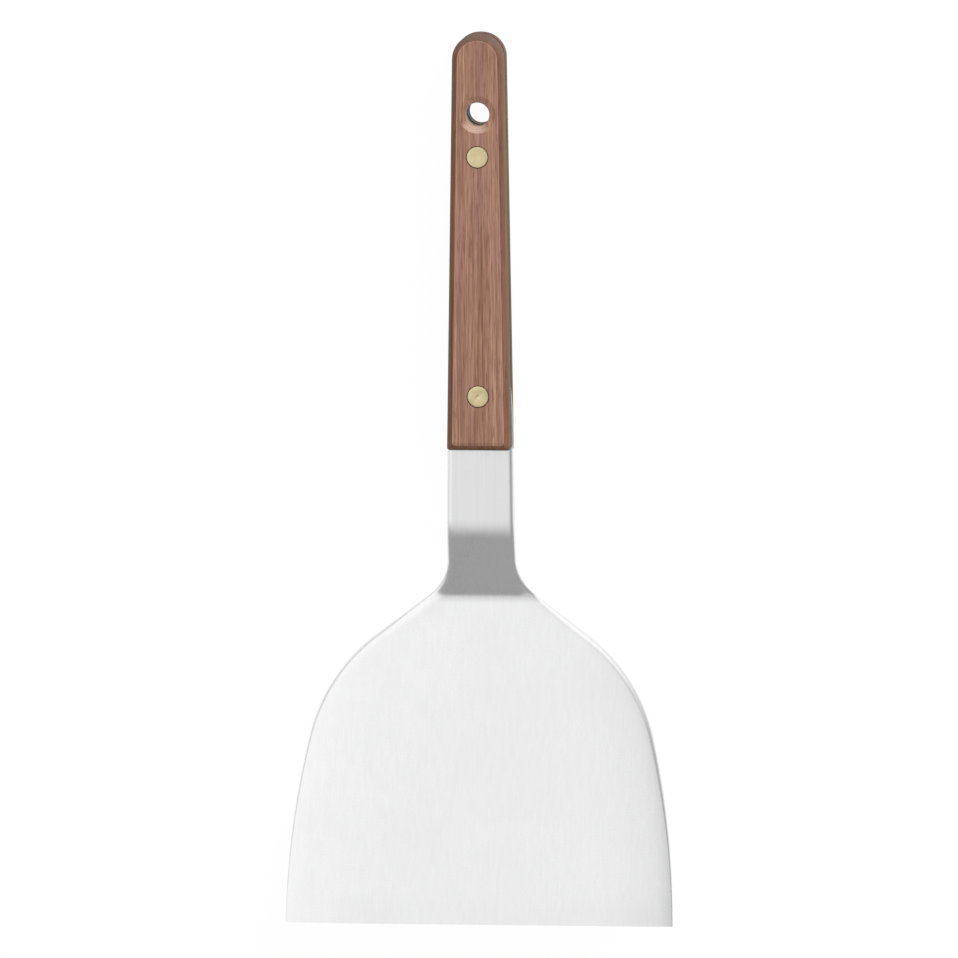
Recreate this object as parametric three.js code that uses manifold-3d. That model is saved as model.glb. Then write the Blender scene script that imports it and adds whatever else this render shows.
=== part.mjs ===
// Teppanyaki turner: a steel blade with a cranked neck and a full tang between two riveted wooden scales.
// Lengths are in millimetres, angles in degrees. X runs across the blade, +Y to the handle's end, +Z up.
import * as THREE from "three";
import { mergeVertices } from "three/addons/utils/BufferGeometryUtils.js";
import Module from "manifold-3d";

const wasm = await Module();
wasm.setup();

// Blade
const bladeLength = 109.87; // from the front edge to the crease at the heel
const bladeWidth = 130.2; // across the front edge
const bladeRise = 10.5; // the blade climbs towards its front edge by this angle from the handle
const sideRadius = 282; // long arc of the side, close to square with the front edge where they meet
const sideTurn = 13; // how far the side arc turns before the shoulder takes over
const shoulderRadius = 60;
const shoulderTurn = 53.3; // direction of the straight shoulder, measured from the blade's length
const shoulderFillet = 17.2; // hollow arc from the shoulder into the neck
const shoulderReach = 14.1; // how far up the slope that arc runs, past the crease at the heel
const frontThickness = 1.2; // the blade thins from the heel to this at the front edge
const edgeThickness = 0.95; // what the ground bevel leaves at the very edge
const edgeBevel = 1.7; // length of that bevel, on the upper face

// Neck and tang
const steelThickness = 2.4;
const edgeRadius = 1.15; // rounding of the steel's long edges outside the handle
const tangEdgeRadius = 0.2; // the tang's edges are ground with the wood and stay nearly square
const slopeAngle = 18.8; // how steeply the neck drops to the blade
const heelBendRadius = 9; // bends are measured at the middle of the steel
const neckBendRadius = 22;
const neckLength = 27.5; // straight neck from the wood to the upper crease
const neckWidth = 22.4; // where the neck leaves the wood
const slopeWidth = 23.2; // where the hollow arc of the shoulder starts

// Handle
const handleLength = 139.1;
const handleWidth = 21.3; // at the neck end
const handleEndWidth = 17.2; // at the middle of the round end
const scaleThickness = 7.8;
const scaleRounding = 2; // rounding of the outer edge of each scale
const scaleCorner = 1; // rounding of the upright corners at the neck end
const hangHoleDiameter = 8;
const hangHoleSink = 2.2; // how much wider the countersunk mouths are, on the radius
const hangHoleSinkDepth = 0.7;
const hangHoleFromEnd = 26.5;
const tangHoleClearance = 0.5; // the tang's hanging hole is larger than the wood's, on the radius
const tangInset = 0.05; // the tang lies this far inside the wood's outline
const tangProudLength = 23.8; // but next to the neck its edges run out of the wood over this length

// Rivets, each a tube and a pin pressed into it
const rivetHeadDiameter = 7.1;
const rivetHeadThickness = 1.6;
const rivetTubeDiameter = 4.8;
const rivetPinDiameter = 3.2;
const rivetTubeLength = 12.4; // under the head
const rivetPinLength = 12.4; // under the head
const rivetHeadChamfer = 0.2;
const neckRivetFromNeck = 18.3; // from the neck end of the wood
const endRivetFromEnd = 40.7; // from the round end of the wood
const rivetClearance = 0.2; // on the radius, round heads and shanks
const pinEndClearance = 0.4; // between the pin's tip and the bottom of the tube

// How finely curves are cut
const roundSteps = 32; // round a rivet or a hole
const arcSteps = 12; // along an outline arc
const sideSteps = 6; // along the blade's long side arc
const bendSteps = 6; // along a crease
const edgeSteps = 3; // across a quarter of a rounded edge
const cutMargin = 1; // how far a cutter reaches past the face it opens
const leastStep = 0.01; // cross-sections closer together than this are taken as one
const slantStep = 0.1; // over which the outline's slant is measured
const edgeShare = 0.48; // a rounded edge takes at most this share of the steel's thickness
const widthShare = 0.9; // and at most this share of half its width

const radians = THREE.MathUtils.degToRad;
const material = (color, roughness, metalness) =>
  new THREE.MeshStandardMaterial({ color, roughness, metalness });

// A closed geometry as a solid that can be cut.
function solidOf(geometry) {
  const plain = new THREE.BufferGeometry();
  plain.setAttribute("position", geometry.getAttribute("position").clone());
  plain.setIndex(geometry.index);
  const merged = mergeVertices(plain, 1e-4);
  return new wasm.Manifold(
    new wasm.Mesh({
      numProp: 3,
      vertProperties: new Float32Array(merged.attributes.position.array),
      triVerts: new Uint32Array(merged.index.array),
    }),
  );
}

// A cut solid as a geometry for a mesh.
function geometryOf(solid) {
  const mesh = solid.getMesh();
  const geometry = new THREE.BufferGeometry();
  geometry.setAttribute("position", new THREE.BufferAttribute(mesh.vertProperties, 3));
  geometry.setIndex(new THREE.BufferAttribute(mesh.triVerts, 1));
  geometry.computeVertexNormals();
  return geometry;
}

// A turned solid about the Z axis from a profile of [radius, height] that starts and ends on the axis.
function turned(profile) {
  const points = profile.map(([radius, height]) => new THREE.Vector2(radius, height));
  const geometry = new THREE.LatheGeometry(points, roundSteps);
  geometry.rotateX(Math.PI / 2);
  return geometry;
}

// A straight round cutter between two heights.
const boreCutter = (radius, low, high) =>
  turned([
    [0, low],
    [radius, low],
    [radius, high],
    [0, high],
  ]);

// Side view: the middle of the steel runs from the front edge to the heel, up the slope and along the tang.
const rise = radians(bladeRise);
const slope = radians(slopeAngle);
const handleThickness = 2 * scaleThickness + steelThickness;
const tangMiddle = handleThickness / 2;
// The crease at the heel is rounded, which lifts it a little. Its underside is level with the handle's back.
const heelLift = heelBendRadius * (Math.cos((slope - rise) / 2) / Math.cos((slope + rise) / 2) - 1);
const heelHeight = steelThickness / 2 - heelLift;
const slopeLength = (tangMiddle - heelHeight) / Math.sin(slope);
const bladeRun = bladeLength * Math.cos(rise);
const slopeRun = slopeLength * Math.cos(slope);
const overallLength = bladeRun + slopeRun + neckLength + handleLength;
const frontY = -overallLength / 2;
const heelY = frontY + bladeRun;
const creaseY = heelY + slopeRun;
const woodY = creaseY + neckLength;
const endY = woodY + handleLength;

// How far each crease reaches along the straights that it joins.
const heelTangent = heelBendRadius * Math.tan((rise + slope) / 2);
const neckTangent = neckBendRadius * Math.tan(slope / 2);

function sidePath() {
  const path = new THREE.Path();
  path.moveTo(frontY, heelHeight + bladeLength * Math.sin(rise));
  path.lineTo(heelY - heelTangent * Math.cos(rise), heelHeight + heelTangent * Math.sin(rise));
  path.absarc(
    heelY - heelTangent * Math.cos(rise) + heelBendRadius * Math.sin(rise),
    heelHeight + heelTangent * Math.sin(rise) + heelBendRadius * Math.cos(rise),
    heelBendRadius,
    -Math.PI / 2 - rise,
    -Math.PI / 2 + slope,
    false,
  );
  path.lineTo(creaseY - neckTangent * Math.cos(slope), tangMiddle - neckTangent * Math.sin(slope));
  path.absarc(
    creaseY + neckTangent,
    tangMiddle - neckBendRadius,
    neckBendRadius,
    Math.PI / 2 + slope,
    Math.PI / 2,
    true,
  );
  path.lineTo(endY - tangInset, tangMiddle);
  return path;
}

// Distances along the steel, measured from the front edge at the middle of its thickness.
const side = sidePath();
const bladeEnd = bladeLength - heelTangent;
const heelBendEnd = bladeEnd + heelBendRadius * (rise + slope);
const slopeEnd = heelBendEnd + slopeLength - heelTangent - neckTangent;
const neckBendEnd = slopeEnd + neckBendRadius * slope;
const woodAt = neckBendEnd + neckLength - neckTangent;
const tangEnd = woodAt + handleLength - tangInset;
const heelAt = (bladeEnd + heelBendEnd) / 2;

// Blade outline in the flat, laid out from the heel to the front edge: hollow arc, straight shoulder, arc of
// the shoulder, arc of the side. The places are distances from the front edge.
const sideAngle = radians(sideTurn);
const shoulderAngle = radians(shoulderTurn);
const sideEndHalf = bladeWidth / 2 - sideRadius * (1 - Math.cos(sideAngle));
const shoulderEndHalf = sideEndHalf - shoulderRadius * (Math.cos(sideAngle) - Math.cos(shoulderAngle));
const filletStartHalf = slopeWidth / 2 + shoulderFillet * (1 - Math.cos(shoulderAngle));
const filletEnd = bladeLength + shoulderReach;
const filletStart = filletEnd - shoulderFillet * Math.sin(shoulderAngle);
const shoulderEnd = filletStart - (shoulderEndHalf - filletStartHalf) / Math.tan(shoulderAngle);
const sideEnd = shoulderEnd - shoulderRadius * (Math.sin(shoulderAngle) - Math.sin(sideAngle));
const sideStart = sideEnd - sideRadius * Math.sin(sideAngle);

const endRadius = handleEndWidth / 2 - tangInset;
const endArcAt = tangEnd - endRadius;
const tangFlushAt = woodAt + tangProudLength;
const woodEndAt = woodAt + handleLength - handleEndWidth / 2;
const tangFlushHalf =
  THREE.MathUtils.mapLinear(tangFlushAt, woodAt, woodEndAt, handleWidth / 2, handleEndWidth / 2) - tangInset;

// Half the steel's width at a distance from the front edge.
function halfWidth(at) {
  if (at <= sideEnd) {
    const run = Math.max(at - sideStart, 0);
    return bladeWidth / 2 - sideRadius + Math.sqrt(sideRadius ** 2 - run ** 2);
  }
  if (at <= shoulderEnd) {
    const sine = Math.sin(sideAngle) + (at - sideEnd) / shoulderRadius;
    return sideEndHalf - shoulderRadius * (Math.cos(sideAngle) - Math.sqrt(1 - sine ** 2));
  }
  if (at <= filletStart) return shoulderEndHalf - (at - shoulderEnd) * Math.tan(shoulderAngle);
  if (at <= filletEnd)
    return slopeWidth / 2 + shoulderFillet - Math.sqrt(shoulderFillet ** 2 - (filletEnd - at) ** 2);
  if (at <= woodAt) return THREE.MathUtils.mapLinear(at, filletEnd, woodAt, slopeWidth / 2, neckWidth / 2);
  if (at <= tangFlushAt)
    return THREE.MathUtils.mapLinear(at, woodAt, tangFlushAt, neckWidth / 2, tangFlushHalf);
  if (at <= endArcAt) return THREE.MathUtils.mapLinear(at, tangFlushAt, endArcAt, tangFlushHalf, endRadius);
  return Math.sqrt(Math.max(endRadius ** 2 - (at - endArcAt) ** 2, 0));
}

// Places along the steel where a cross-section stands, closer together on arcs and creases.
function stations() {
  const list = [0, edgeBevel, woodAt, woodAt + tangEdgeRadius, tangFlushAt, endArcAt];
  const spread = (from, to, steps) => {
    for (let i = 0; i <= steps; i++) list.push(from + ((to - from) * i) / steps);
  };
  spread(edgeBevel, sideEnd, sideSteps);
  spread(sideEnd, shoulderEnd, arcSteps);
  spread(filletStart, filletEnd, arcSteps);
  spread(bladeEnd, heelBendEnd, bendSteps);
  spread(slopeEnd, neckBendEnd, bendSteps);
  const lastTurn = Math.PI / 2 - Math.asin(tangEdgeRadius / endRadius);
  for (let i = 1; i <= arcSteps; i++)
    list.push(endArcAt + endRadius * Math.sin((lastTurn * i) / arcSteps));
  list.sort((a, b) => a - b);
  return list.filter((at, i) => i === 0 || at - list[i - 1] > leastStep);
}

// Heights of the steel's upper and lower face above its middle.
function faceHeights(at) {
  const along = Math.min(at / heelAt, 1);
  const half = THREE.MathUtils.lerp(frontThickness, steelThickness, along) / 2;
  const ground = Math.max(0, 1 - at / edgeBevel) * (frontThickness - edgeThickness);
  return { upper: half - ground, lower: -half };
}

// One cross-section: a flat strip with rounded long edges, as points across and above the middle.
function section(at) {
  const { upper, lower } = faceHeights(at);
  const wanted = at > woodAt ? tangEdgeRadius : edgeRadius;
  const radius = Math.min(wanted, (upper - lower) * edgeShare);
  const slant = (halfWidth(at - slantStep) - halfWidth(at + slantStep)) / (2 * slantStep);
  const half = halfWidth(at);
  // Where the outline slants, a section across the blade cuts the rounding at a slant too, and wider.
  const across = Math.min(radius * Math.hypot(1, at > woodAt ? 0 : slant), half * widthShare);
  const points = [];
  for (const [turn, middle] of [[-Math.PI / 2, lower + radius], [0, upper - radius]])
    for (let i = 0; i <= edgeSteps; i++) {
      const angle = turn + (Math.PI / 2) * (i / edgeSteps);
      points.push([half - across + across * Math.cos(angle), middle + radius * Math.sin(angle)]);
    }
  const mirrored = points.map(([x, z]) => [-x, z]).reverse();
  return points.concat(mirrored);
}

// The steel as a loft of those sections along the side view.
function steelGeometry() {
  const places = stations();
  const positions = [];
  const triangles = [];
  for (const at of places) {
    const share = Math.min(at / tangEnd, 1);
    const middle = side.getPoint(share);
    const along = side.getTangent(share);
    for (const [x, up] of section(at))
      positions.push(x, middle.x - along.y * up, middle.y + along.x * up);
  }
  const count = section(0).length;
  for (let ring = 0; ring + 1 < places.length; ring++)
    for (let i = 0; i < count; i++) {
      const a = ring * count + i;
      const b = ring * count + ((i + 1) % count);
      triangles.push(a, a + count, b, b, a + count, b + count);
    }
  const last = (places.length - 1) * count;
  for (let i = 1; i + 1 < count; i++) {
    triangles.push(0, i, i + 1);
    triangles.push(last, last + i + 1, last + i);
  }
  const geometry = new THREE.BufferGeometry();
  geometry.setAttribute("position", new THREE.Float32BufferAttribute(positions, 3));
  geometry.setIndex(triangles);
  return geometry;
}

const neckRivetY = woodY + neckRivetFromNeck;
const endRivetY = endY - endRivetFromEnd;
const hangHoleY = endY - hangHoleFromEnd;
const tubeHoleRadius = rivetTubeDiameter / 2 + rivetClearance;
const headHoleRadius = rivetHeadDiameter / 2 + rivetClearance;

function bladeAndTang() {
  let steel = solidOf(steelGeometry());
  const low = scaleThickness - cutMargin;
  const high = scaleThickness + steelThickness + cutMargin;
  const bores = [
    [neckRivetY, tubeHoleRadius],
    [endRivetY, tubeHoleRadius],
    [hangHoleY, hangHoleDiameter / 2 + tangHoleClearance],
  ];
  for (const [y, radius] of bores) {
    const cutter = boreCutter(radius, low, high);
    steel = steel.subtract(solidOf(cutter.translate(0, y, 0)));
  }
  return geometryOf(steel);
}

// Plan of a scale, drawn smaller all round by an inset: a taper with a round end and a square neck end.
function scalePlan(inset, corner) {
  const front = woodY + inset;
  const half = handleWidth / 2 - inset;
  const round = handleEndWidth / 2 - inset;
  const middle = endY - handleEndWidth / 2;
  const plan = new THREE.Shape();
  plan.moveTo(-half + corner, front);
  plan.lineTo(half - corner, front);
  if (corner > 0) plan.absarc(half - corner, front + corner, corner, -Math.PI / 2, 0, false);
  plan.lineTo(round, middle);
  plan.absarc(0, middle, round, 0, Math.PI, false);
  plan.lineTo(-half, front + corner);
  if (corner > 0) plan.absarc(-half + corner, front + corner, corner, Math.PI, 1.5 * Math.PI, false);
  return plan;
}

// A scale with its flat inner face at height 0 and its rounded outer face up.
function scaleGeometry() {
  const rounded = new THREE.ExtrudeGeometry(scalePlan(scaleRounding, 0), {
    depth: 2 * (scaleThickness - scaleRounding),
    curveSegments: arcSteps,
    bevelThickness: scaleRounding,
    bevelSize: scaleRounding,
    bevelSegments: edgeSteps + 1,
  });
  rounded.translate(0, 0, scaleRounding - scaleThickness);
  const upright = new THREE.ExtrudeGeometry(scalePlan(0, scaleCorner), {
    depth: scaleThickness + cutMargin,
    curveSegments: arcSteps,
    bevelEnabled: false,
  });
  let scale = solidOf(rounded).intersect(solidOf(upright));
  for (const y of [neckRivetY, endRivetY]) {
    const shank = boreCutter(tubeHoleRadius, -cutMargin, scaleThickness + cutMargin);
    const head = boreCutter(headHoleRadius, scaleThickness - rivetHeadThickness, scaleThickness + cutMargin);
    scale = scale.subtract(solidOf(shank.translate(0, y, 0)));
    scale = scale.subtract(solidOf(head.translate(0, y, 0)));
  }
  return geometryOf(scale.subtract(solidOf(hangHoleCutter().translate(0, hangHoleY, 0))));
}

// The hanging hole through one scale, countersunk on the outer face.
function hangHoleCutter() {
  const radius = hangHoleDiameter / 2;
  const mouth = radius + hangHoleSink;
  return turned([
    [0, -cutMargin],
    [radius, -cutMargin],
    [radius, scaleThickness - hangHoleSinkDepth],
    [mouth, scaleThickness],
    [mouth, scaleThickness + cutMargin],
    [0, scaleThickness + cutMargin],
  ]);
}

// The half of a rivet that shows on the upper face: a head on a tube, with the face of the head at height 0.
function rivetTube() {
  const head = rivetHeadDiameter / 2;
  const tubeEnd = -rivetHeadThickness - rivetTubeLength;
  const pinTip = rivetHeadThickness + rivetPinLength - handleThickness;
  const bore = rivetPinDiameter / 2 + rivetClearance;
  return turned([
    [0, pinTip + pinEndClearance],
    [bore, pinTip + pinEndClearance],
    [bore, tubeEnd],
    [rivetTubeDiameter / 2, tubeEnd],
    [rivetTubeDiameter / 2, -rivetHeadThickness],
    [head, -rivetHeadThickness],
    [head, -rivetHeadChamfer],
    [head - rivetHeadChamfer, 0],
    [0, 0],
  ]);
}

// The half that shows on the back: a head on a solid pin, with the face of the head at height 0.
function rivetPin() {
  const head = rivetHeadDiameter / 2;
  const tip = rivetHeadThickness + rivetPinLength;
  const pin = rivetPinDiameter / 2;
  return turned([
    [0, 0],
    [head - rivetHeadChamfer, 0],
    [head, rivetHeadChamfer],
    [head, rivetHeadThickness],
    [pin, rivetHeadThickness],
    [pin, tip - rivetHeadChamfer],
    [pin - rivetHeadChamfer, tip],
    [0, tip],
  ]);
}

const steel = material(0xd9dadb, 0.28, 1);
const wood = material(0xa07a68, 0.55, 0);
const brass = material(0xd2bd90, 0.35, 1);

const turner = new THREE.Group();
function place(name, geometry, finish, y, z) {
  const mesh = new THREE.Mesh(geometry, finish);
  mesh.name = name;
  mesh.position.set(0, y, z);
  turner.add(mesh);
  return mesh;
}

place("blade_and_tang", bladeAndTang(), steel.clone(), 0, 0);
place("top_scale", scaleGeometry(), wood.clone(), 0, scaleThickness + steelThickness);
place("bottom_scale", scaleGeometry(), wood.clone(), 0, scaleThickness).rotation.y = Math.PI;
for (const [name, y] of [["neck_rivet", neckRivetY], ["end_rivet", endRivetY]]) {
  place(name + "_tube", rivetTube(), brass.clone(), y, handleThickness);
  place(name + "_pin", rivetPin(), brass.clone(), y, 0);
}

export default turner;
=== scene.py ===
# %% [markdown]
# # A griddle turner, dressed for the camera
# A turner for a hot plate is three things: a wide steel blade whose neck is cranked so that knuckles stay
# off the heat, two wooden scales that make the grip, and two brass rivets that hold them on the tang.
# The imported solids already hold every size. This lesson models the same pieces again with finer edges, gives
# them their finishes, and photographs them from above on a white table.

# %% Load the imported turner
import math

import bmesh
import bpy
from mathutils import Matrix, Vector


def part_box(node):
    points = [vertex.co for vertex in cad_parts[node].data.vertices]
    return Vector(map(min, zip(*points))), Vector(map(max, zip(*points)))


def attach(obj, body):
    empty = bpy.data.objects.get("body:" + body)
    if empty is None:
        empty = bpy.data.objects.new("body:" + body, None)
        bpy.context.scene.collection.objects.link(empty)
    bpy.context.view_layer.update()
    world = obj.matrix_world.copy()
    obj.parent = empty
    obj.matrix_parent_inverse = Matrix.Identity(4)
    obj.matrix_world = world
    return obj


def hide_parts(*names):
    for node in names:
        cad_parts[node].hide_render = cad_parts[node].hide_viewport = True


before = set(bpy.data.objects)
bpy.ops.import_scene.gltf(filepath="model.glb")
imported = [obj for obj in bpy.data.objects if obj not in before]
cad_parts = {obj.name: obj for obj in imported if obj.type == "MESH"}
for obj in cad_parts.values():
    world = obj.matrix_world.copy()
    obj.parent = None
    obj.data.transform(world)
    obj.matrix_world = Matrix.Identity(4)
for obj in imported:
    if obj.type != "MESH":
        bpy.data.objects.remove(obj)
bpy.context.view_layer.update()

# %% [markdown]
# ## Sizes
# The solids say where the wood starts and ends, how thick the steel is and where the rivets stand, so those
# are read from them. What a box can't tell, such as the arcs of the blade's outline, is written here once,
# in metres, as a blade maker would give it: front edge first, then towards the handle.

# %% Sizes that come from the solids
blade_low, blade_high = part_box("blade_and_tang")
scale_low, scale_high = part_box("top_scale")
back_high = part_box("bottom_scale")[1]
rivet_boxes = [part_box("neck_rivet_tube"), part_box("end_rivet_tube")]

blade_width = blade_high.x - blade_low.x
wood_y = scale_low.y
end_y = scale_high.y
handle_width = scale_high.x - scale_low.x
handle_top = scale_high.z
steel_thickness = scale_low.z - back_high.z
tang_middle = (scale_low.z + back_high.z) / 2
rivet_places = [(low.y + high.y) / 2 for low, high in rivet_boxes]
rivet_head_radius = (rivet_boxes[0][1].x - rivet_boxes[0][0].x) / 2
print("rivets at, m:", [round(y, 5) for y in rivet_places])

# %% Sizes of the blade, neck and tang
# Outline, from the front edge to the handle
blade_length = 0.10987
side_radius = 0.282
side_turn = math.radians(13)
shoulder_radius = 0.060
shoulder_turn = math.radians(53.3)
shoulder_fillet = 0.0172
shoulder_reach = 0.0141
slope_width = 0.0232
neck_width = 0.0224
neck_length = 0.0275

# Bends
blade_rise = math.radians(10.5)
slope_angle = math.radians(18.8)
heel_bend_radius = 0.009
neck_bend_radius = 0.022

# Thickness at the front, and the long soft bevel there
front_thickness = 0.0012
edge_thickness = 0.00095
edge_bevel = 0.008

# Crown of the blade: how far in from its border it begins, and how far the border drops
side_roll_width = 0.032
side_roll_drop = 0.00045
side_crown = 0.0005
rim_roll_width = 0.004
rim_roll_drop = 0.00028
rim_roll_fade = 0.007

# Round edges: width as a multiple of height, and how low their outermost line lies
edge_spread = 1.5
front_spread = 0.5
front_spread_length = 0.055
shoulder_spread = 2.9
edge_low = 0.25
edge_low_fade = 0.007

# Tang and handle
proud_length = 0.0238
tang_edge = 0.0002
tang_edge_share = 0.9
tang_inset = 0.0004
handle_end_width = 0.0172
hang_hole_radius = 0.004
hang_hole_from_end = 0.0265
tang_hole_room = 0.0005
rivet_hole_radius = 0.0026

hang_hole_y = end_y - hang_hole_from_end
handle_length = end_y - wood_y
print("handle, m:", round(handle_width, 5), "x", round(handle_length, 5))

# %% [markdown]
# ## Working by hand, in code
# Every piece below starts as a primitive and is shaped in edit mode, the way it would be done with a mouse.
# An operator acts on whatever is selected, so the helpers here do what the hand does: take one piece, pick
# the points or faces at a certain place, and let everything else go.

# %% Helpers for taking a piece and picking parts of it
tiny = 1e-6


def take(piece):
    """Makes the piece the only selected one, in object mode."""
    if bpy.context.object and bpy.context.object.mode != "OBJECT":
        bpy.ops.object.mode_set(mode="OBJECT")
    bpy.ops.object.select_all(action="DESELECT")
    piece.select_set(True)
    bpy.context.view_layer.objects.active = piece


def start(name):
    """Names the primitive that was just added, puts its place in its mesh and opens it in edit mode."""
    piece = bpy.context.object
    piece.name = name
    piece.data.name = name
    bpy.ops.object.transform_apply(location=True, rotation=True, scale=True)
    bpy.ops.object.mode_set(mode="EDIT")
    return piece


def pick(piece, kind, test):
    """Selects the points, edges or faces that pass a test, and nothing else, in edit mode."""
    bpy.ops.mesh.select_mode(type=kind)
    bpy.ops.mesh.select_all(action="DESELECT")
    shape = bmesh.from_edit_mesh(piece.data)
    parts = {"VERT": shape.verts, "EDGE": shape.edges, "FACE": shape.faces}[kind]
    found = [part for part in parts if test(part)]
    for part in found:
        part.select_set(True)
    shape.select_flush_mode()
    bmesh.update_edit_mesh(piece.data)
    return len(found)


def open_all(piece):
    """Opens the piece in edit mode, with all of it selected."""
    take(piece)
    bpy.ops.object.mode_set(mode="EDIT")
    bpy.ops.mesh.select_all(action="SELECT")


def close():
    """Leaves edit mode."""
    bpy.ops.object.mode_set(mode="OBJECT")


def pull(step):
    """Extrudes what is selected by a step."""
    bpy.ops.mesh.extrude_region_move(TRANSFORM_OT_translate={"value": step})


def mm(length):
    """A length in millimetres, to print."""
    return round(1000 * length, 3)


def finish_faces(piece, angle):
    """Turns all faces outwards and shades the piece smooth, with an edge kept where it turns sharply."""
    open_all(piece)
    bpy.ops.mesh.remove_doubles(threshold=tiny)
    bpy.ops.mesh.normals_make_consistent(inside=False)
    close()
    bpy.ops.object.shade_smooth_by_angle(angle=math.radians(angle))


# %% [markdown]
# ## The steel, as a flat blank
# The blade, neck and tang are one strip of steel. It is cut flat, ground and only then bent, so it is made
# here in that order. The blank could be drawn as an outline and filled, but then the round edges, which get
# thinner towards the front, would be hard to get. Instead half of one cross-section is made from half a
# circle, and extruded from station to station with its own width and thickness at each.

# %% Outline of the blank, as half its width at a distance from the front edge
heel_tangent = heel_bend_radius * math.tan((blade_rise + slope_angle) / 2)
neck_tangent = neck_bend_radius * math.tan(slope_angle / 2)
heel_lift = heel_bend_radius * (
    math.cos((slope_angle - blade_rise) / 2) / math.cos((slope_angle + blade_rise) / 2) - 1
)
heel_height = steel_thickness / 2 - heel_lift
slope_length = (tang_middle - heel_height) / math.sin(slope_angle)
blade_end = blade_length - heel_tangent
heel_end = blade_end + heel_bend_radius * (blade_rise + slope_angle)
slope_end = heel_end + slope_length - heel_tangent - neck_tangent
neck_bend_end = slope_end + neck_bend_radius * slope_angle
wood_at = neck_bend_end + neck_length - neck_tangent
tang_end = wood_at + handle_length - tang_inset
end_radius = handle_end_width / 2 - tang_inset
end_arc_at = tang_end - end_radius
proud_end = wood_at + proud_length
wood_slant = (handle_width - handle_end_width) / 2 / (handle_length - handle_end_width / 2)
flush_half = handle_width / 2 - wood_slant * proud_length - tang_inset

side_end_half = blade_width / 2 - side_radius * (1 - math.cos(side_turn))
shoulder_end_half = side_end_half - shoulder_radius * (math.cos(side_turn) - math.cos(shoulder_turn))
fillet_start_half = slope_width / 2 + shoulder_fillet * (1 - math.cos(shoulder_turn))
fillet_end = blade_length + shoulder_reach
fillet_start = fillet_end - shoulder_fillet * math.sin(shoulder_turn)
shoulder_end = fillet_start - (shoulder_end_half - fillet_start_half) / math.tan(shoulder_turn)
side_end = shoulder_end - shoulder_radius * (math.sin(shoulder_turn) - math.sin(side_turn))
side_start = side_end - side_radius * math.sin(side_turn)


def between(at, first, last, first_value, last_value):
    """Value on a straight line between two places."""
    return first_value + (last_value - first_value) * (at - first) / (last - first)


def half_width(at):
    """Half the width of the blank at a distance from its front edge."""
    if at <= side_end:
        run = max(at - side_start, 0)
        return blade_width / 2 - side_radius + math.sqrt(side_radius**2 - run**2)
    if at <= shoulder_end:
        sine = math.sin(side_turn) + (at - side_end) / shoulder_radius
        return side_end_half - shoulder_radius * (math.cos(side_turn) - math.sqrt(1 - sine**2))
    if at <= fillet_start:
        return shoulder_end_half - (at - shoulder_end) * math.tan(shoulder_turn)
    if at <= fillet_end:
        run = fillet_end - at
        return slope_width / 2 + shoulder_fillet - math.sqrt(shoulder_fillet**2 - run**2)
    if at <= wood_at:
        return between(at, fillet_end, wood_at, slope_width / 2, neck_width / 2)
    if at <= proud_end:
        share = ((at - wood_at) / proud_length) ** 2
        return neck_width / 2 + (flush_half - neck_width / 2) * share
    if at <= end_arc_at:
        return between(at, proud_end, end_arc_at, flush_half, end_radius)
    return math.sqrt(max(end_radius**2 - (at - end_arc_at) ** 2, 0))


# %% Thickness of the blank, and the stations where a cross-section stands
slant_step = 0.0001
least_station_gap = 0.00004


def slant(at):
    """How fast the blank gets narrower at a station."""
    return (half_width(at - slant_step) - half_width(at + slant_step)) / (2 * slant_step)


def spread_at(at):
    """How much wider than high the round edge is: least at the front, most at the shoulders."""
    if at < front_spread_length:
        return between(at, 0, front_spread_length, front_spread, edge_spread)
    past_side = (at - side_end) / (blade_end - side_end)
    before_neck = (fillet_end - at) / (fillet_end - fillet_start)
    share = max(min(past_side, before_neck, 1), 0)
    return edge_spread + (shoulder_spread - edge_spread) * share


def section(at):
    """Half width, depth of the round edge, thickness and height of the middle, at one station."""
    full = between(min(at, blade_length), 0, blade_length, front_thickness, steel_thickness)
    ground = max(0, 1 - at / edge_bevel) * (front_thickness - edge_thickness)
    thickness = full - ground
    depth = thickness / 2 * math.hypot(1, slant(at)) * spread_at(at)
    if at > wood_at + tiny:
        depth = min(tang_edge, half_width(at) * tang_edge_share)
    return half_width(at), depth, thickness, tang_middle - ground / 2


def evenly(first, last, steps):
    """Places at even distances, with both ends."""
    return [first + (last - first) * step / steps for step in range(steps + 1)]


stretches = [
    (0, edge_bevel, 3),
    (edge_bevel, side_end, 16),
    (side_end, shoulder_end, 24),
    (shoulder_end, fillet_start, 4),
    (fillet_start, fillet_end, 24),
    (blade_end, heel_end, 12),
    (slope_end, neck_bend_end, 14),
    (wood_at + tang_edge, proud_end, 8),
    (proud_end, end_arc_at, 3),
]
last_turn = math.pi / 2 - math.asin(tang_edge / end_radius)
end_turns = evenly(0, last_turn, 16)
wanted = [wood_at] + [end_arc_at + end_radius * math.sin(turn) for turn in end_turns]
for first, last, steps in stretches:
    wanted += evenly(first, last, steps)
stations = []
for at in sorted(wanted):
    if not stations or at - stations[-1] > least_station_gap:
        stations.append(at)
print("stations along the steel:", len(stations), "over mm", mm(tang_end))


def flat_y(at):
    """Where a station lies while the blank is still flat, with the tang already in its place."""
    return wood_y + at - wood_at


# %% Extrude half the blank from its front edge to the end of the tang
edge_points = 32
# Where the points of a flat stand, as shares of the way from its middle to the round edge
flat_columns = [1, 0.97, 0.93, 0.88, 0.82, 0.76, 0.69, 0.6, 0.4, 0]

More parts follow.
